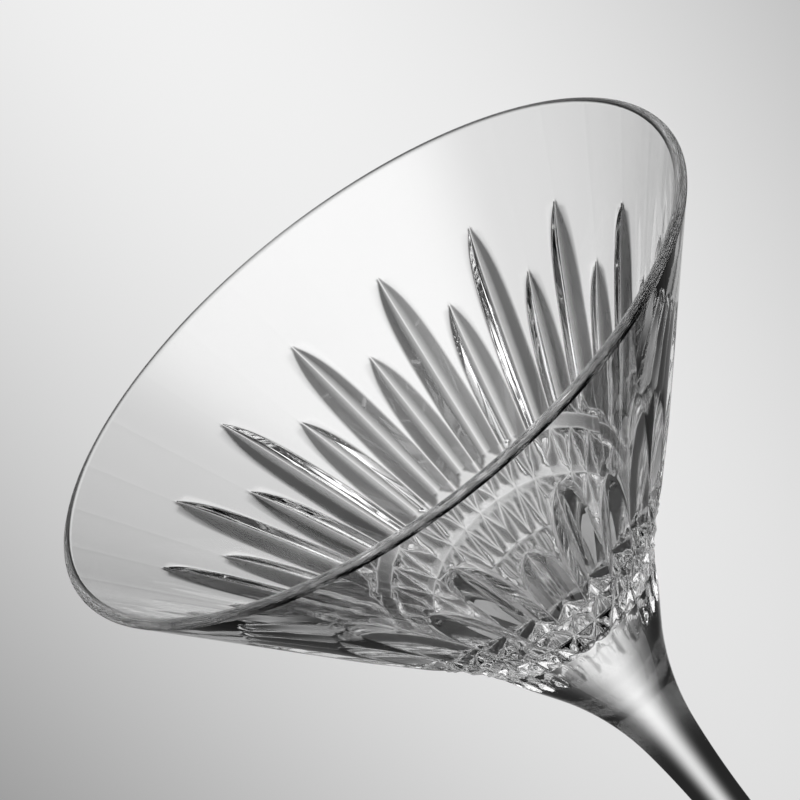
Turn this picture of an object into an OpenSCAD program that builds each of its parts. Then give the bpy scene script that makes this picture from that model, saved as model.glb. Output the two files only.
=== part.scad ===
// A long-stemmed cut-crystal martini glass. It is three pieces of glass that are joined
// hot: a conical bowl with wheel-cut decoration, a drawn stem and a round foot.
// The origin is the centre of the foot on the table, and +Z is up.

/* [Overall] */
// Height from the table to the rim
glass_h = 178; // [174:1:186]
// Diameter across the rim
rim_d = 113.4; // [113:0.1:114.5]
// Lean of the bowl's outer wall away from the axis, in degrees
bowl_lean = 34.8; // [34.5:0.1:35]

/* [Bowl wall] */
// Thickness of the lip, measured level
lip_wall = 1.9; // [1.9:0.1:2.2]
// Radius of the two round edges of the lip
lip_round = 0.9; // [0.6:0.05:0.9]
// Thickness of the wall at the foot of the wedge cuts, measured level
cut_wall = 3.9; // [3.8:0.1:4.2]
// Radius of the round bottom inside the bowl
well_r = 22; // [21:0.5:23]

/* [Wedge cuts] */
// Number of long wedge cuts, with one short cut between each two
wedge_pairs = 16; // [14:1:16]
// Depth below the rim of the points of the long cuts
long_tip = 13.8; // [12:0.2:16]
// Depth below the rim of the points of the short cuts
short_tip = 22; // [20:0.2:24]
// Depth below the rim of the foot of the wedge cuts
wedge_foot = 42.3; // [42:0.1:42.6]
// Depth of a wedge cut in the glass where it is deepest
wedge_cut = 1.8; // [1.5:0.1:1.8]
// Half the angle of the edge of the wedge wheel, in degrees
wedge_half = 58; // [55:1:58]

/* [Diamond band] */
// Depth below the rim of the ring cut above the diamonds
ring_top = 46.4; // [46.2:0.1:46.8]
// Height of one of the two rows of diamonds
row_h = 5.7; // [5.5:0.1:5.8]
// Depth of the three ring cuts in the glass
ring_cut = 0.9; // [0.8:0.1:1]
// Half the angle of the edge of the ring wheel, in degrees
ring_half = 52; // [48:1:54]
// Depth of the slanted cuts in the glass where they cross halfway
diamond_cut = 1.15; // [1.1:0.05:1.2]
// Half the angle of the edge of the diamond wheel, in degrees
diamond_half = 58; // [55:1:60]

/* [Fringe cuts] */
// Length of the fringe cuts below the diamonds, along the wall
fringe_run = 5.5; // [5:0.5:7]
// Depth of a fringe cut in the glass at its top
fringe_cut = 0.9; // [0.7:0.1:1]
// Half the angle of the edge of the fringe wheel, in degrees
fringe_half = 58; // [55:1:60]

/* [Stem] */
// Depth below the rim of the joint between the bowl and the stem
stem_joint = 68; // [67:0.5:70]
// Radius of the sweep from the bowl's base into the stem
sweep_r = 58; // [56:1:59]
// Height of the stem's waist above the table
waist_z = 66; // [62:1:70]
// Lean of the stem away from upright where it meets the foot, in degrees
flare_lean = 5.5; // [4:0.5:7]

/* [Foot] */
// Diameter of the foot
foot_d = 78; // [74:1:80]
// Height of the joint between the stem and the foot
foot_joint = 14; // [13.5:0.5:15]
// Slope of the top of the foot, in degrees
foot_slope = 8; // [7:0.5:9]
// Radius of the hollow where the stem meets the foot
foot_fillet = 9; // [8:0.5:9.5]
// Width of the flat ground ring that the foot stands on
ground_ring = 3; // [2:0.5:5]
// Height of the hollow under the foot at its middle
foot_hollow = 1.4; // [1:0.1:1.8]

/* [Hidden] */
$fn = 96;
GLASS = [0.86, 0.88, 0.9, 0.6];

rim_r = rim_d / 2;
foot_r = foot_d / 2;
ring_mid = ring_top + row_h;
ring_low = ring_mid + row_h;
cuts_around = 2 * wedge_pairs;
pitch = 360 / cuts_around;

// The cone's own corner at the rim lies a little outside the round edge of the lip.
lip_over = lip_round * ((1 + sin(bowl_lean)) * tan(bowl_lean) + cos(bowl_lean) - 1);

// Radius of the uncut bowl at a depth below the rim, and that point as [radius, height].
function cone_r(s) = rim_r + lip_over - s * tan(bowl_lean);
function on_cone(s) = [cone_r(s), glass_h - s];
// Unit vectors square to a wall that leans by an angle, outwards, and down along it.
function out_of(lean) = [cos(lean), -sin(lean)];
function down_on(lean) = [-sin(lean), -cos(lean)];
// Points of an arc about a centre, from one angle to another, in n steps.
function arc(c, r, from, to, n) =
    [for (i = [0:n]) c + r * [cos(from + (to - from) * i / n), sin(from + (to - from) * i / n)]];
function last(points) = points[len(points) - 1];

// Below the diamonds the bowl's base is a steeper cone, which the stem carries on.
base_lean = 27.5;
base_below_ring = 2.2;
base_start = ring_low + base_below_ring;
fringe_lean = (bowl_lean + base_lean) / 2;
function on_base(s) = [cone_r(base_start) - (s - base_start) * tan(base_lean), glass_h - s];

// A little below the joint, an arc hollows out from the base's lean to the stem's slow taper.
taper_lean = 5.5;
sweep_below_joint = 1;
sweep_start = on_base(stem_joint + sweep_below_joint);
sweep = arc(sweep_start + sweep_r * out_of(base_lean), sweep_r, 180 - base_lean, 180 - taper_lean, 12);
// From there one long arc runs upright at the waist, and another widens to the foot.
taper_r = (last(sweep)[1] - waist_z) / sin(taper_lean);
waist = [last(sweep)[0] - taper_r * (1 - cos(taper_lean)), waist_z];
taper = arc(waist + [taper_r, 0], taper_r, 180 - taper_lean, 180, 6);

flare_r = (waist_z - foot_joint) / sin(flare_lean);
flare = arc(waist + [flare_r, 0], flare_r, 180, 180 + flare_lean, 8);

// A hollow fillet carries the stem into the foot's top, a shallow cone with a round edge.
fillet_c = last(flare) + foot_fillet * [cos(flare_lean), sin(flare_lean)];
fillet = arc(fillet_c, foot_fillet, 180 + flare_lean, 270 - foot_slope, 8);
edge_r = (last(fillet)[1] - (foot_r - last(fillet)[0]) * tan(foot_slope))
    / (1 + cos(foot_slope) - (1 - sin(foot_slope)) * tan(foot_slope));

// The lip is nearly a half round, with a narrow flat between its two round edges.
inner_lean = atan(tan(bowl_lean) + (cut_wall - lip_wall) / wedge_foot);
lip_out = [rim_r - lip_round, glass_h - lip_round];
lip_in = [rim_r - lip_wall + lip_round, glass_h - lip_round];
lip = concat(arc(lip_out, lip_round, -bowl_lean, 90, 6), arc(lip_in, lip_round, 90, 180 - inner_lean, 4));

// Inside, the bowl is a cone that runs tangent into a round bottom.
well_z = lip_in[1] + (lip_round + well_r - lip_in[0] * cos(inner_lean)) / sin(inner_lean);
well = arc([0, well_z], well_r, -inner_lean, -90, 12);

// The uncut body of the bowl, down to its flat joint with the stem.
module blank() {
    joint = [[0, glass_h - stem_joint], on_base(stem_joint), on_cone(base_start)];
    rotate_extrude() polygon(concat(joint, lip, well));
}

// The path that a V-edged wheel takes through the wall. It is deepest at a point of the
// wall, runs out over the length run up the wall, and goes on past that point by past.
module wheel_path(deepest, run, deep, half, past) {
    r = (run * run + deep * deep) / (2 * deep);
    proud = 0.5;
    spare = 1;
    edge = deep + proud;
    runout = asin(run / r) + asin(spare / r);
    beyond = asin(past / r);
    centre = deepest + (r - deep) * out_of(bowl_lean);
    translate([centre[0], 0, centre[1]])
        rotate([90, 0, 0])
            rotate_extrude(start = 180 - bowl_lean - runout, angle = runout + beyond)
                polygon([[r, 0], [r - edge, edge * tan(half)], [r - edge, -edge * tan(half)]]);
}

// A wedge cut is deepest two thirds of the way down from its point to its square foot.
module wedge_cut_at(tip) {
    length = (wedge_foot - tip) / cos(bowl_lean);
    run = length * 2 / 3;
    wheel_path(on_cone(tip) + run * down_on(bowl_lean), run, wedge_cut, wedge_half, length - run);
}

module wedge_cuts() {
    for (i = [0:wedge_pairs - 1]) {
        rotate([0, 0, 90 + (2 * i + 1) * pitch]) wedge_cut_at(long_tip);
        rotate([0, 0, 90 + 2 * i * pitch]) wedge_cut_at(short_tip);
    }
}

// A V-shaped ring cut around the cone.
module ring_cut_at(s) {
    proud = 0.4;
    spread = (ring_cut + proud) * tan(ring_half) * down_on(bowl_lean);
    top = on_cone(s) + proud * out_of(bowl_lean);
    rotate_extrude() polygon([on_cone(s) - ring_cut * out_of(bowl_lean), top + spread, top - spread]);
}

// A straight V-shaped cut, whose middle is deep under a point of a wall that leans, turned
// about a line square to the wall.
module straight_cut(middle, lean, length, deep, half, turn = 0) {
    proud = 0.6;
    open = deep + proud;
    apex = middle - deep * out_of(lean);
    translate([apex[0], 0, apex[1]])
        rotate([0, lean, 0])
            rotate([turn, 0, 0])
                linear_extrude(length, center = true)
                    polygon([[0, 0], [open, open * tan(half)], [open, -open * tan(half)]]);
}

// The slanted cuts cross on each ring cut, one pitch apart, and part between them.
module slanted_cuts() {
    middle = on_cone(ring_mid);
    half_run = row_h / cos(bowl_lean);
    slant = atan(middle[0] * PI * pitch / 360 / half_run);
    length = 2 * half_run / cos(slant);
    for (i = [0:cuts_around - 1], side = [-1, 1])
        rotate([0, 0, 90 + (i + 0.5) * pitch])
            straight_cut(middle, bowl_lean, length, diamond_cut, diamond_half, side * slant);
}

// The fringe cuts run out of the glass down the bowl's base.
module fringe_cuts() {
    below_ring = 0.6;
    tilt = atan(fringe_cut / fringe_run);
    middle = on_cone(ring_low + below_ring) + fringe_run / 2 * down_on(fringe_lean);
    for (i = [0:cuts_around - 1])
        rotate([0, 0, 90 + i * pitch])
            straight_cut(middle, fringe_lean - tilt, fringe_run, fringe_cut / 2, fringe_half);
}

module bowl() {
    color(GLASS)
        difference() {
            blank();
            wedge_cuts();
            for (s = [ring_top, ring_mid, ring_low]) ring_cut_at(s);
            slanted_cuts();
            fringe_cuts();
        }
}

module stem() {
    color(GLASS)
        rotate_extrude()
            polygon(concat(
                [[0, glass_h - stem_joint], on_base(stem_joint)], sweep,
                [for (i = [1:len(taper) - 1]) taper[i]], [for (i = [1:len(flare) - 1]) flare[i]],
                [[0, foot_joint]]
            ));
}

module foot() {
    edge = arc([foot_r - edge_r, edge_r], edge_r, 90 - foot_slope, -90, 8);
    ring_in = foot_r - edge_r - ground_ring;
    hollow_r = (ring_in * ring_in + foot_hollow * foot_hollow) / (2 * foot_hollow);
    hollow = arc([0, foot_hollow - hollow_r], hollow_r, 90 - asin(ring_in / hollow_r), 90, 8);
    color(GLASS)
        rotate_extrude() polygon(concat([[0, foot_joint]], fillet, edge, hollow));
}

bowl();
stem();
foot();
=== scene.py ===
"""The looks of a long-stemmed cut-crystal martini glass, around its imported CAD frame.

Lengths in the shape functions are in millimetres, and MM turns them into Blender's metres.
Depths are measured down from the rim. The bowl, stem and foot are closed glass meshes that
meet at see-through joint faces, because the real glass is joined hot.
"""
import math

import bpy
import numpy as np
from mathutils import Matrix, Vector


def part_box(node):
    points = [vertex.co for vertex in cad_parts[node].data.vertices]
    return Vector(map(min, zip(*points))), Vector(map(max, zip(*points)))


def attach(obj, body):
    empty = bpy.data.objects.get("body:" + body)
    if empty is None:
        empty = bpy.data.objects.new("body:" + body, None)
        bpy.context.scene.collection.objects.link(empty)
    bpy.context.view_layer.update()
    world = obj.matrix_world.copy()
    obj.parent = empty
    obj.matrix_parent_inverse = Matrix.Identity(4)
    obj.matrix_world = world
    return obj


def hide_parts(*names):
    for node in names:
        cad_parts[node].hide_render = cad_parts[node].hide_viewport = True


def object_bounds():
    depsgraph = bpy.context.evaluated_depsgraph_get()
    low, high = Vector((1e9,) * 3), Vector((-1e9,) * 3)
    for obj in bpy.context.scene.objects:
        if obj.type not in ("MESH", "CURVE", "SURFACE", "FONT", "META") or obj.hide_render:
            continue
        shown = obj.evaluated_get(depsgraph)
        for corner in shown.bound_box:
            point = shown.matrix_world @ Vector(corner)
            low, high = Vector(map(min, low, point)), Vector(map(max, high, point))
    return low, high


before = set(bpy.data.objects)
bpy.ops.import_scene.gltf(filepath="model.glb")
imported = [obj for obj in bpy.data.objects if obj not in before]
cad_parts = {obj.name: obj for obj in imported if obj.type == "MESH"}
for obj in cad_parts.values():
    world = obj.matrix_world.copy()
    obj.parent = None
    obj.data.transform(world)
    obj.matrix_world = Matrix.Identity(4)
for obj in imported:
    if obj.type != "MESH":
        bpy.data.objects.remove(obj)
cad_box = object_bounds()

MM = 0.001

# Sizes that the CAD model settles. STEM_JOINT and FOOT_JOINT_S are depths below the rim, and
# FOOT_JOINT is a height above the table.
GLASS_H = cad_box[1].z / MM
RIM_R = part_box("bowl")[1].x / MM
STEM_JOINT = GLASS_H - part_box("bowl")[0].z / MM
FOOT_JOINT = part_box("stem")[0].z / MM
FOOT_JOINT_S = GLASS_H - FOOT_JOINT
FOOT_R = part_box("foot")[1].x / MM

# The bowl's wall: its lean from upright, its thickness at the lip and at the foot of the wedge
# cuts, the radius of the lip's two edges, and the radius of the round bottom inside.
LEAN = math.radians(34.8)
LIP_WALL = 1.9
LIP_ROUND = 0.9
CUT_WALL = 3.9
WELL_R = 22.0

# The lip is nearly a half round, with a very narrow flat between its two round edges. The
# cone's own corner would lie a little outside the first.
LIP_OVER = LIP_ROUND * ((1 + math.sin(LEAN)) * math.tan(LEAN) + math.cos(LEAN) - 1)
LIP_START = LIP_ROUND * (1 + math.sin(LEAN))
LIP_OUT = (RIM_R - LIP_ROUND, GLASS_H - LIP_ROUND)
LIP_IN = (RIM_R - LIP_WALL + LIP_ROUND, GLASS_H - LIP_ROUND)

# The pattern: long and short wedge cuts in turn, then two rows of diamonds, then a fringe.
# WEDGE_HALF, RING_HALF and the like are half the angle of the edge of the wheel.
CUTS = 32
HALF_PITCH = math.pi / CUTS
FIRST_CUT = math.pi / 2
LONG_TIP = 13.8
SHORT_TIP = 22.0
WEDGE_FOOT = 42.3
WEDGE_DEEP = 1.75
WEDGE_HALF = math.radians(59)
# Over this length a wedge cut plunges to nearly two thirds of its depth.
WEDGE_ENTRY = 4.2
# Above the tip the line of a wedge cut's trough rises out of the glass over this length.
WEDGE_LEAD = 0.5
# How much the two faces of a wedge cut bulge.
WEDGE_BULGE = 0.02
# The wall that closes the wedge cuts rises to a low collar.
COLLAR_TOP = 44.9
COLLAR_DEPTH = 0.2
COLLAR_SOFT = 0.05
RINGS = (46.4, 52.0, 57.8)
RING_DEPTHS = (1.4, 1.35, 1.0)
RING_HALF = math.radians(60)
DIAMOND_DEPTH = 1.3
DIAMOND_HALF = math.radians(60)
# Depth that the slanted cuts lose for each row's height past their two rows.
DIAMOND_FADE = 8.0
FRINGE_END = 63.4
FRINGE_DEPTH = 1.25
FRINGE_HALF = math.radians(58)
THIN_FRINGE_END = 61.5
THIN_FRINGE_DEPTH = 0.6
# A fringe cut's depth falls as this power of the share of its length that is left.
FRINGE_POWER = 0.6
# Depth that a fringe cut loses for each millimetre above its top and below its end.
FRINGE_START_FADE = 4.0
FRINGE_END_FADE = 0.4
# How softly the edges between cuts are rounded, and those between a cut and the uncut wall.
EDGE_SOFT = 0.14
WALL_SOFT = 0.08
# The depth where nothing is cut, which lies above the wall.
UNCUT = -1.0
# The bend radius of a ring cut's wall, which is straight across the cut.
NO_BEND = 1e9
# Added to an offset, so that a point right on a cut's middle has a side too.
TINY = 1e-9

# The base of the bowl, the stem below it and the foot.
BASE_START = 60.0
BASE_LEAN = math.radians(27.5)
SWEEP_START = STEM_JOINT + 1
SWEEP_R = 58.0
TAPER_LEAN = math.radians(5.5)
WAIST_Z = 66.0
FLARE_LEAN = math.radians(5.5)
FOOT_SLOPE = math.radians(8)
FOOT_FILLET = 9.0
GROUND_RING = 3.0
FOOT_HOLLOW = 1.4
# Down the outside each change of lean is eased by a running mean over this length. The profile
# goes on past the table by the spare length, so that its end is out of the way.
EASE = 3.0
EASE_PASSES = 2
PROFILE_STEP = 0.02
PROFILE_SPARE = 12.0

# Mesh steps: rows of the cut wall as (start depth, end depth, step), and counts elsewhere.
ROW_STEPS = (
    (LIP_START, 12.6, 1.6), (12.6, 17.0, 0.3), (17.0, 40.0, 0.5),
    (40.0, 59.6, 0.175), (59.6, 66.0, 0.3), (66.0, STEM_JOINT, 0.5),
)
# The first and last columns stand this share of half a pitch from a cut's middle and its border.
COLUMN_EDGE = 0.02
# The two columns on each side that follow a crease stand apart by twice this share. Their
# middle stays between the least and the most, and where there is no crease it is even.
CREASE_HALF = 0.045
CREASE_MIN = 0.1
CREASE_MAX = 0.9
CREASE_EVEN = 0.5
# Above its tip a wedge cut's crease columns spread by this share, over this length.
CREASE_SPREAD = 0.4
CREASE_RUN = 5.0
LIP_STEPS = 8
INNER_STEPS = 6
WELL_STEPS = 28
STEM_COLUMNS = 160
STEM_ROWS = 120
FOOT_COLUMNS = 240
FILLET_STEPS = 24
FOOT_EDGE_STEPS = 16
HOLLOW_STEPS = 12

# Lead crystal, the darkest shade of its uneven tint, and the ripple of its surface.
GLASS_IOR = 1.54
GLASS_TINT = 0.975
RIPPLE_SCALE = 60.0
RIPPLE_STRENGTH = 0.02
RIPPLE_HEIGHT = 0.001

# The floor. Its radius is in metres, and its shades are the two ends of its mottle.
FLOOR_R = 0.055
FLOOR_SIDES = 96
FLOOR_SHADES = (0.44, 0.46)
FLOOR_ROUGH = 0.9
FLOOR_SHINE = 0.1
MOTTLE_SCALE = 3.0

# The backdrop's bright band: its direction, then by elevation in degrees how far it spreads,
# as a share of half a turn, and how bright it is.
BAND_TURN = math.radians(1.9)
BAND_SPREADS = (
    (-90, 0.05), (-62, 0.06), (-46, 0.06), (-36, 0.057), (30, 0.058), (60, 0.1), (90, 0.1),
)
BAND_SHADES = (
    (-90, 0.1), (-66, 0.2), (-50, 0.62), (-38, 0.7), (-28, 0.82), (-18, 0.86), (30, 0.88), (65, 0.0),
)
# The soft light overhead and in front: its elevation, the cosines of the angles from its
# direction at which it fades out and is full, and its brightness.
DOME_RISE = math.radians(46)
DOME_EDGE = 0.4
DOME_FULL = 0.9
DOME_SHADE = 2.0
# The brightness of the rest of the studio.
STUDIO_DIM = 0.02

# The camera looks down at the bowl from close by, with a long lens, rolled over on its side.
# Angles are in radians, and CAMERA_NEAR is in metres.
CAMERA_AWAY = 450.0
CAMERA_RISE = 0.4303
CAMERA_PAN = 0.00108
CAMERA_TILT = 0.02237
CAMERA_ROLL = -0.67152
CAMERA_LENS = 133.7
CAMERA_SENSOR = 36.0
CAMERA_NEAR = 0.01

# How often light is followed through glass, and off shiny surfaces.
GLASS_BOUNCES = 24
GLOSSY_BOUNCES = 12


def cone_r(s):
    """Radius of the uncut cone at a depth below the rim."""
    return RIM_R + LIP_OVER - s * math.tan(LEAN)


def lean_at(s):
    """Lean of the outside from upright at a depth, in radians, before it is eased."""
    sweep_end = SWEEP_START + SWEEP_R * (math.sin(BASE_LEAN) - math.sin(TAPER_LEAN))
    waist = GLASS_H - WAIST_Z
    in_sweep = np.clip(math.sin(BASE_LEAN) - (s - SWEEP_START) / SWEEP_R, -1, 1)
    taper = math.sin(TAPER_LEAN) * (waist - s) / (waist - sweep_end)
    flare = -math.sin(FLARE_LEAN) * (s - waist) / (FOOT_JOINT_S - waist)
    below = np.where(s < waist, taper, flare)
    slope = np.where(s < sweep_end, in_sweep, below)
    lean = np.where(s < SWEEP_START, BASE_LEAN, np.arcsin(slope))
    return np.where(s < BASE_START, LEAN, lean)


def eased_outside():
    """Depths, radii and leans of the uncut outside, with its changes of lean made gradual."""
    steps = round(EASE / PROFILE_STEP)
    s = np.arange(0, GLASS_H + PROFILE_SPARE, PROFILE_STEP)
    window = np.full(steps, PROFILE_STEP / EASE)
    lean = lean_at(np.arange(-EASE, GLASS_H + PROFILE_SPARE + EASE, PROFILE_STEP))
    for _ in range(EASE_PASSES):
        lean = np.convolve(lean, window, "same")
    lean = lean[steps:][:len(s)]
    radius = cone_r(0) - np.cumsum(np.tan(lean)) * PROFILE_STEP
    return s, radius, lean


OUTSIDE_S, OUTSIDE_R, OUTSIDE_LEAN = eased_outside()


def wall_r(s):
    """Radius of the glass's uncut outside at a depth below the rim."""
    return np.interp(s, OUTSIDE_S, OUTSIDE_R)


def wall_lean(s):
    """Lean of the glass's uncut outside from upright at a depth below the rim."""
    return float(np.interp(s, OUTSIDE_S, OUTSIDE_LEAN))


def smooth_above(x, soft):
    """x where it is well above zero, and zero where it is well below."""
    return 0.5 * (x + np.sqrt(x * x + soft * soft))


def soft_abs(x, soft):
    """The size of x, with a round bottom in place of the corner at zero."""
    return np.sqrt(x * x + soft * soft) - soft


def larger(a, b):
    """The larger of two depths, with a narrow round edge where they are equal."""
    return 0.5 * (a + b + np.sqrt((a - b) ** 2 + EDGE_SOFT * EDGE_SOFT))


def v_cut(deep, across, half, bend_r):
    """Depth of a V cut at a distance across it, in a wall that curves away by bend_r."""
    return deep - soft_abs(across, EDGE_SOFT) / math.tan(half) - across ** 2 / (2 * bend_r)


def wedge_trough(s, tip):
    """Depth of a wedge cut's trough, which plunges at the tip and then levels out."""
    run = np.clip(s - tip, -WEDGE_LEAD, None)
    return WEDGE_DEEP * (1 - np.exp(-run / WEDGE_ENTRY))


def cut_depth(az, s):
    """How deep the pattern goes below the uncut wall, square to it."""
    r = wall_r(s)
    bend_r = r / math.cos(LEAN)
    turn = (az - FIRST_CUT) / (2 * HALF_PITCH)
    nearest = np.round(turn)
    side = np.sign(turn - nearest + TINY)
    depth = np.full(np.broadcast(az, s).shape, UNCUT)
    # Wedge cuts, the nearest and its neighbour.
    for k in (nearest, nearest + side):
        tip = np.where(k % 2 == 0, SHORT_TIP, LONG_TIP)
        across = (turn - k) * 2 * HALF_PITCH * r
        cut = v_cut(wedge_trough(s, tip), across, WEDGE_HALF, bend_r) + WEDGE_BULGE * across ** 2
        depth = larger(depth, cut)
    # The wall that closes the wedge cuts rises to the collar.
    rise = (COLLAR_TOP - s) / (COLLAR_TOP - WEDGE_FOOT)
    wall = COLLAR_DEPTH + (WEDGE_DEEP - COLLAR_DEPTH) * rise
    wall = smooth_above(wall, COLLAR_SOFT)
    depth = -larger(-depth, -wall)
    depth = np.where(s < RINGS[0], depth, UNCUT)
    # Ring cuts.
    for ring, deep in zip(RINGS, RING_DEPTHS):
        depth = larger(depth, v_cut(deep, (s - ring) / math.cos(LEAN), RING_HALF, NO_BEND))
    # Slanted cuts, which cross on the rings.
    row = (s - RINGS[0]) / (RINGS[1] - RINGS[0])
    row_run = (RINGS[1] - RINGS[0]) / math.cos(LEAN)
    slant = math.atan(cone_r(RINGS[1]) * HALF_PITCH / row_run)
    outside = np.clip(np.abs(row - 1) - 1, 0, None)
    for way in (-1, 1):
        shifted = turn - way * row / 2
        across = (shifted - np.round(shifted)) * 2 * HALF_PITCH * r * math.cos(slant)
        deep = DIAMOND_DEPTH - DIAMOND_FADE * outside
        depth = larger(depth, v_cut(deep, across, DIAMOND_HALF, bend_r))
    # Fringe cuts below the last ring, and thin ones halfway between them.
    for shift, end, deep in ((0, FRINGE_END, FRINGE_DEPTH), (0.5, THIN_FRINGE_END, THIN_FRINGE_DEPTH)):
        shifted = turn - shift
        across = (shifted - np.round(shifted)) * 2 * HALF_PITCH * r
        along = (end - s) / (end - RINGS[2])
        trough = deep * np.clip(along, 0, 1) ** FRINGE_POWER
        trough = trough - FRINGE_END_FADE * np.clip(s - end, 0, 1)
        trough = trough - FRINGE_START_FADE * np.clip(RINGS[2] - s, 0, 2)
        depth = larger(depth, v_cut(trough, across, FRINGE_HALF, bend_r))
    return smooth_above(depth, WALL_SOFT)


def outer_point(az, s):
    """Point of the cut outside of the bowl."""
    depth = cut_depth(az, s)
    r = wall_r(s) - depth * math.cos(LEAN)
    z = GLASS_H - s + depth * math.sin(LEAN)
    return np.stack([r * np.cos(az), r * np.sin(az), z], -1)


def outer_normal(az, s):
    """Unit normal of the cut outside of the bowl, by small steps each way."""
    da = 2e-4
    ds = 5e-3
    along_az = outer_point(az + da, s) - outer_point(az - da, s)
    along_s = outer_point(az, s + ds) - outer_point(az, s - ds)
    n = np.cross(along_s, along_az)
    return n / np.linalg.norm(n, axis=-1, keepdims=True)


def crease(s, tip):
    """Where the crease columns of the mesh run, from 0 at a cut's middle to 1 at its border."""
    r = wall_r(np.asarray(s, float))
    slope = 1 / math.tan(WEDGE_HALF)
    bend = WEDGE_BULGE - math.cos(LEAN) / (2 * r)
    trough = np.clip(wedge_trough(s, tip), 0, None)
    half = (slope - np.sqrt(np.clip(slope ** 2 - 4 * bend * trough, 0, None))) / (2 * bend)
    half = half / (r * HALF_PITCH)
    low, mid, end = RINGS
    if s < tip:
        w = CREASE_MIN + CREASE_SPREAD * min(1, (tip - s) / CREASE_RUN)
    elif s < WEDGE_FOOT:
        w = float(half)
    elif s < low:
        w = CREASE_EVEN
    elif s < mid:
        w = (s - low) / (mid - low)
    elif s < end:
        w = (end - s) / (end - mid)
    elif s < FRINGE_END:
        deep = FRINGE_DEPTH * ((FRINGE_END - s) / (FRINGE_END - end)) ** FRINGE_POWER
        w = deep * math.tan(FRINGE_HALF) / float(r * HALF_PITCH)
    else:
        w = CREASE_EVEN
    return min(max(w, CREASE_MIN), CREASE_MAX)


def sector_columns(w):
    """Angles of one sector's columns, as fractions of half a pitch."""
    right = [COLUMN_EDGE, w / 2, w - CREASE_HALF, w + CREASE_HALF, (1 + w) / 2, 1 - COLUMN_EDGE]
    return [-u for u in reversed(right)] + right


def ring_angles(s):
    """Azimuths of all the columns in one row of the bowl's mesh."""
    turns = []
    for k in range(CUTS):
        tip = SHORT_TIP if k % 2 == 0 else LONG_TIP
        middle = FIRST_CUT + 2 * HALF_PITCH * k
        turns += [middle + HALF_PITCH * u for u in sector_columns(crease(s, tip))]
    return np.array(turns)


def stretch(start, end, step):
    """Even steps from start up to, but not including, end."""
    count = max(1, round((end - start) / step))
    return list(start + (end - start) * np.arange(count) / count)


def turned(profile, angles):
    """Mesh rows of a profile of (r, z, direction of the normal), turned about the axis."""
    rows = []
    for r, z, tilt in profile:
        ring = np.stack([np.cos(angles), np.sin(angles), np.zeros_like(angles)], -1)
        points = ring * r + [0, 0, z]
        normals = ring * math.cos(tilt) + [0, 0, math.sin(tilt)]
        rows.append((points, normals, normals))
    return rows


def arc(centre, r, start, end, steps, hollow=False):
    """Profile along an arc, whose glass is inside it, or outside it if hollow."""
    flip = math.pi if hollow else 0
    return [
        (centre[0] + r * math.cos(t), centre[1] + r * math.sin(t), t + flip)
        for t in np.linspace(start, end, steps + 1)
    ]


def pole(z, up):
    """The row at the axis that closes a mesh, facing up or down."""
    return (np.array([[0, 0, z]]), np.array([[0, 0, up]]), np.array([[0, 0, up]]))


def flat_end(row, up):
    """A row again, whose faces towards the axis are a flat joint face."""
    points, normals_in, normals_out = row
    flat = np.tile([0, 0, up], (len(points), 1))
    return (points, flat, normals_out) if up < 0 else (points, normals_in, flat)


def closed_mesh(name, rows, joint_strips):
    """A closed mesh through rows of points, from pole to pole, with its own normals.

    joint_strips are the numbers of the strips that are joint faces.
    """
    starts = np.cumsum([0] + [len(row[0]) for row in rows])
    faces, normals, slots = [], [], []
    for i, (lower, upper) in enumerate(zip(rows, rows[1:])):
        columns = max(len(lower[0]), len(upper[0]))
        for j in range(columns):
            k = (j + 1) % columns
            corners = [(0, j), (0, k), (1, k), (1, j)]
            if len(lower[0]) == 1:
                corners = [(0, 0), (1, k), (1, j)]
            if len(upper[0]) == 1:
                corners = [(0, j), (0, k), (1, 0)]
            faces.append([starts[i + up] + c for up, c in corners])
            normals += [upper[1][c] if up else lower[2][c] for up, c in corners]
        slots += [1 if i in joint_strips else 0] * columns
    mesh = bpy.data.meshes.new(name)
    mesh.from_pydata(np.concatenate([row[0] for row in rows]) * MM, [], faces)
    mesh.polygons.foreach_set("use_smooth", [True] * len(faces))
    mesh.normals_split_custom_set(normals)
    mesh.polygons.foreach_set("material_index", slots)
    piece = bpy.data.objects.new(name, mesh)
    bpy.context.scene.collection.objects.link(piece)
    return piece


def inner_profile():
    """The lip, the inside of the bowl down to its bottom, and the height of that bottom."""
    lean = math.atan(math.tan(LEAN) + (CUT_WALL - LIP_WALL) / WEDGE_FOOT)
    facing = math.pi - lean
    lip = arc(LIP_OUT, LIP_ROUND, -LEAN, math.pi / 2, LIP_STEPS)[1:]
    lip += arc(LIP_IN, LIP_ROUND, math.pi / 2, facing, LIP_STEPS)
    centre_z = LIP_IN[1] + (LIP_ROUND + WELL_R - LIP_IN[0] * math.cos(lean)) / math.sin(lean)
    well = arc((0, centre_z), WELL_R, -lean, -math.pi / 2, WELL_STEPS, hollow=True)
    top, foot = lip[-1], well[0]
    cone = [
        (top[0] + (foot[0] - top[0]) * t, top[1] + (foot[1] - top[1]) * t, facing)
        for t in np.linspace(0, 1, INNER_STEPS + 1)[1:-1]
    ]
    return lip, cone + well[:-1], well[-1][1]


def make_bowl():
    """The bowl's closed mesh, from its joint face up the cut outside and down the inside."""
    depths = [STEM_JOINT]
    for start, end, step in ROW_STEPS:
        depths += stretch(start, end, step)
    depths = sorted(set(depths), reverse=True)
    rows = []
    for s in depths:
        angles = ring_angles(s)
        at = np.full_like(angles, s)
        normals = outer_normal(angles, at)
        rows.append((outer_point(angles, at), normals, normals))
    lip, inside, well_z = inner_profile()
    angles = ring_angles(0)
    rows[0] = flat_end(rows[0], -1)
    rows = [pole(rows[0][0][0][2], -1)] + rows + turned(lip + inside, angles) + [pole(well_z, 1)]
    return closed_mesh("bowl_glass", rows, {0})


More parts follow.
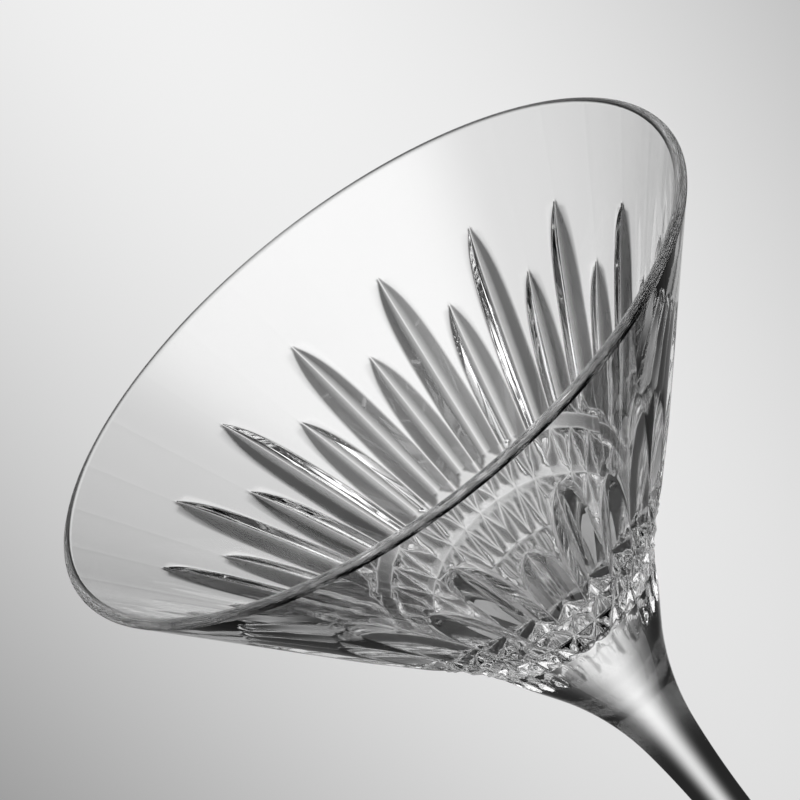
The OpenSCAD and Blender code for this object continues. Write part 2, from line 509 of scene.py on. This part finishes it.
def make_stem():
    """The stem's closed mesh, between its two joint faces."""
    depths = np.linspace(FOOT_JOINT_S, STEM_JOINT, STEM_ROWS + 1)
    profile = [(float(wall_r(s)), GLASS_H - s, -wall_lean(s)) for s in depths]
    rows = turned(profile, np.linspace(0, 2 * math.pi, STEM_COLUMNS, endpoint=False))
    rows[0] = flat_end(rows[0], -1)
    rows[-1] = flat_end(rows[-1], 1)
    rows = [pole(FOOT_JOINT, -1)] + rows + [pole(GLASS_H - STEM_JOINT, 1)]
    return closed_mesh("stem_glass", rows, {0, len(rows) - 2})


def make_foot():
    """The foot's closed mesh, from the hollow under it round its edge and up the fillet."""
    joint_r = float(wall_r(FOOT_JOINT_S))
    lean = -wall_lean(FOOT_JOINT_S)
    centre = (joint_r + FOOT_FILLET * math.cos(lean), FOOT_JOINT + FOOT_FILLET * math.sin(lean))
    foot_end = 1.5 * math.pi - FOOT_SLOPE
    fillet = arc(centre, FOOT_FILLET, math.pi + lean, foot_end, FILLET_STEPS, hollow=True)
    end_r, end_z, _ = fillet[-1]
    rise = end_z - (FOOT_R - end_r) * math.tan(FOOT_SLOPE)
    edge_r = rise / (1 + math.cos(FOOT_SLOPE) - (1 - math.sin(FOOT_SLOPE)) * math.tan(FOOT_SLOPE))
    edge_end = math.pi / 2 - FOOT_SLOPE
    edge = arc((FOOT_R - edge_r, edge_r), edge_r, -math.pi / 2, edge_end, FOOT_EDGE_STEPS)
    ring_in = FOOT_R - edge_r - GROUND_RING
    hollow_r = (ring_in ** 2 + FOOT_HOLLOW ** 2) / (2 * FOOT_HOLLOW)
    hollow_end = math.pi / 2 - math.asin(ring_in / hollow_r)
    middle = (0, FOOT_HOLLOW - hollow_r)
    hollow = arc(middle, hollow_r, math.pi / 2, hollow_end, HOLLOW_STEPS, hollow=True)
    angles = np.linspace(0, 2 * math.pi, FOOT_COLUMNS, endpoint=False)
    rows = turned(hollow[1:] + edge + fillet[::-1], angles)
    rows[-1] = flat_end(rows[-1], 1)
    rows = [pole(FOOT_HOLLOW, -1)] + rows + [pole(FOOT_JOINT, 1)]
    return closed_mesh("foot_glass", rows, {len(rows) - 2})


def nodes_of(name):
    """A new material with its node tree emptied, its tree, and its output node."""
    material = bpy.data.materials.new(name)
    material.use_nodes = True
    tree = material.node_tree
    tree.nodes.clear()
    return material, tree, tree.nodes.new("ShaderNodeOutputMaterial")


def crystal_material():
    """Clear lead crystal, with the faint ripple and uneven tint of handmade polished glass."""
    material, tree, out = nodes_of("crystal")
    glass = tree.nodes.new("ShaderNodeBsdfPrincipled")
    glass.inputs["Transmission Weight"].default_value = 1.0
    glass.inputs["IOR"].default_value = GLASS_IOR
    place = tree.nodes.new("ShaderNodeTexCoord")
    noise = tree.nodes.new("ShaderNodeTexNoise")
    noise.inputs["Scale"].default_value = RIPPLE_SCALE
    tree.links.new(place.outputs["Object"], noise.inputs["Vector"])
    tint = tree.nodes.new("ShaderNodeMapRange")
    tint.inputs["To Min"].default_value = GLASS_TINT
    tint.inputs["To Max"].default_value = 1.0
    tree.links.new(noise.outputs["Fac"], tint.inputs["Value"])
    tree.links.new(tint.outputs["Result"], glass.inputs["Base Color"])
    glass.inputs["Roughness"].default_value = 0.0
    bump = tree.nodes.new("ShaderNodeBump")
    bump.inputs["Strength"].default_value = RIPPLE_STRENGTH
    bump.inputs["Distance"].default_value = RIPPLE_HEIGHT
    tree.links.new(noise.outputs["Fac"], bump.inputs["Height"])
    tree.links.new(bump.outputs["Normal"], glass.inputs["Normal"])
    tree.links.new(glass.outputs["BSDF"], out.inputs["Surface"])
    return material


def joint_material():
    """The fused joint between two pieces of glass, which can't be seen."""
    material, tree, out = nodes_of("fused_joint")
    clear = tree.nodes.new("ShaderNodeBsdfTransparent")
    tree.links.new(clear.outputs["BSDF"], out.inputs["Surface"])
    return material


def floor_material():
    """Matt grey board with a very faint mottle."""
    material, tree, out = nodes_of("pale_floor")
    board = tree.nodes.new("ShaderNodeBsdfPrincipled")
    board.inputs["Roughness"].default_value = FLOOR_ROUGH
    board.inputs["Specular IOR Level"].default_value = FLOOR_SHINE
    noise = tree.nodes.new("ShaderNodeTexNoise")
    noise.inputs["Scale"].default_value = MOTTLE_SCALE
    shade = tree.nodes.new("ShaderNodeMapRange")
    shade.inputs["To Min"].default_value = FLOOR_SHADES[0]
    shade.inputs["To Max"].default_value = FLOOR_SHADES[1]
    tree.links.new(noise.outputs["Fac"], shade.inputs["Value"])
    tree.links.new(shade.outputs["Result"], board.inputs["Base Color"])
    tree.links.new(board.outputs["BSDF"], out.inputs["Surface"])
    return material


def make_floor():
    """A small round floor, so that the backdrop shows past it."""
    turns = [2 * math.pi * k / FLOOR_SIDES for k in range(FLOOR_SIDES)]
    mesh = bpy.data.meshes.new("floor")
    rim = [(FLOOR_R * math.cos(t), FLOOR_R * math.sin(t), 0) for t in turns]
    mesh.from_pydata(rim, [], [tuple(range(FLOOR_SIDES))])
    floor = bpy.data.objects.new("floor", mesh)
    bpy.context.scene.collection.objects.link(floor)
    floor.data.materials.append(floor_material())


def make_world():
    """A dim studio with a bright band behind the glass, and a soft light overhead in front."""
    world = bpy.data.worlds.new("studio")
    world.use_nodes = True
    tree = world.node_tree
    back = tree.nodes["Background"]
    place = tree.nodes.new("ShaderNodeTexCoord")
    split = tree.nodes.new("ShaderNodeSeparateXYZ")
    tree.links.new(place.outputs["Generated"], split.inputs["Vector"])

    def math_node(operation, *values):
        """The result of a math node, whose values are numbers or other nodes' results."""
        node = tree.nodes.new("ShaderNodeMath")
        node.operation = operation
        for socket, value in zip(node.inputs, values):
            if isinstance(value, bpy.types.NodeSocket):
                tree.links.new(value, socket)
            else:
                socket.default_value = value
        return node.outputs["Value"]

    def by_elevation(stops):
        """A smooth curve through (elevation in degrees, value) pairs."""
        ramp = tree.nodes.new("ShaderNodeValToRGB")
        ramp.color_ramp.interpolation = "B_SPLINE"
        for i, (height, shade) in enumerate(stops):
            stop = ramp.color_ramp.elements[i] if i < 2 else ramp.color_ramp.elements.new(1.0)
            stop.position = 0.5 + height / 180
            stop.color = (shade, shade, shade, 1)
        tree.links.new(height_share, ramp.inputs["Fac"])
        return ramp.outputs["Color"]

    def bell(offset, spread):
        """A bell curve of an offset, which is 1 at no offset and 0.6 at the spread."""
        share = math_node("DIVIDE", offset, spread)
        square = math_node("MULTIPLY", share, share)
        return math_node("EXPONENT", math_node("MULTIPLY", square, -0.5))

    azimuth = math_node("ARCTAN2", split.outputs["X"], split.outputs["Y"])
    elevation = math_node("ARCSINE", split.outputs["Z"])
    height_share = math_node("ADD", math_node("DIVIDE", elevation, math.pi), 0.5)
    spread = math_node("MULTIPLY", by_elevation(BAND_SPREADS), math.pi)
    away = math_node("SUBTRACT", azimuth, BAND_TURN)
    band = math_node("MULTIPLY", bell(away, spread), by_elevation(BAND_SHADES))
    # The big soft light overhead and in front is a smooth cap about its own direction.
    forward = math_node("MULTIPLY", split.outputs["Y"], -math.cos(DOME_RISE))
    upward = math_node("MULTIPLY", split.outputs["Z"], math.sin(DOME_RISE))
    towards = math_node("ADD", forward, upward)
    cap = tree.nodes.new("ShaderNodeMapRange")
    cap.interpolation_type = "SMOOTHERSTEP"
    cap.inputs["From Min"].default_value = DOME_EDGE
    cap.inputs["From Max"].default_value = DOME_FULL
    cap.inputs["To Max"].default_value = DOME_SHADE
    tree.links.new(towards, cap.inputs["Value"])
    shade = math_node("ADD", math_node("ADD", band, cap.outputs["Result"]), STUDIO_DIM)
    tree.links.new(shade, back.inputs["Strength"])
    back.inputs["Color"].default_value = (1, 1, 1, 1)
    bpy.context.scene.world = world


def make_camera():
    """The scene's camera, whose place is worked out in millimetres from the rim's middle."""
    place = Vector((0, -CAMERA_AWAY * math.cos(CAMERA_RISE), CAMERA_AWAY * math.sin(CAMERA_RISE)))
    lens = bpy.data.cameras.new("camera")
    lens.lens = CAMERA_LENS
    lens.sensor_width = CAMERA_SENSOR
    lens.clip_start = CAMERA_NEAR
    camera = bpy.data.objects.new("camera", lens)
    bpy.context.scene.collection.objects.link(camera)
    camera.matrix_world = camera_matrix(place)
    bpy.context.scene.camera = camera


def camera_matrix(place):
    """The matrix that looks at the middle of the rim, then pans, tilts and rolls as named."""
    ahead = (-place).normalized()
    right = ahead.cross(Vector((0, 0, 1))).normalized()
    down = ahead.cross(right)
    axes = Matrix((right, down, ahead))
    pan = Matrix.Rotation(CAMERA_PAN, 3, "Y")
    tilt = Matrix.Rotation(CAMERA_TILT, 3, "X")
    roll = Matrix.Rotation(CAMERA_ROLL, 3, "Z")
    rows = roll @ tilt @ pan @ axes
    spin = Matrix((rows[0], -rows[1], -rows[2])).transposed()
    world = spin.to_4x4()
    world.translation = (place + Vector((0, 0, GLASS_H))) * MM
    return world


crystal = crystal_material()
joint = joint_material()
for node, make in (("bowl", make_bowl), ("stem", make_stem), ("foot", make_foot)):
    piece = make()
    piece.data.materials.append(crystal)
    piece.data.materials.append(joint)
    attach(piece, "root")
    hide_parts(node)

make_floor()
make_world()
make_camera()

scene = bpy.context.scene
scene.view_settings.view_transform = "Standard"
scene.cycles.max_bounces = GLASS_BOUNCES
scene.cycles.transmission_bounces = GLASS_BOUNCES
scene.cycles.glossy_bounces = GLOSSY_BOUNCES
scene.cycles.transparent_max_bounces = GLASS_BOUNCES
scene.cycles.use_denoising = True
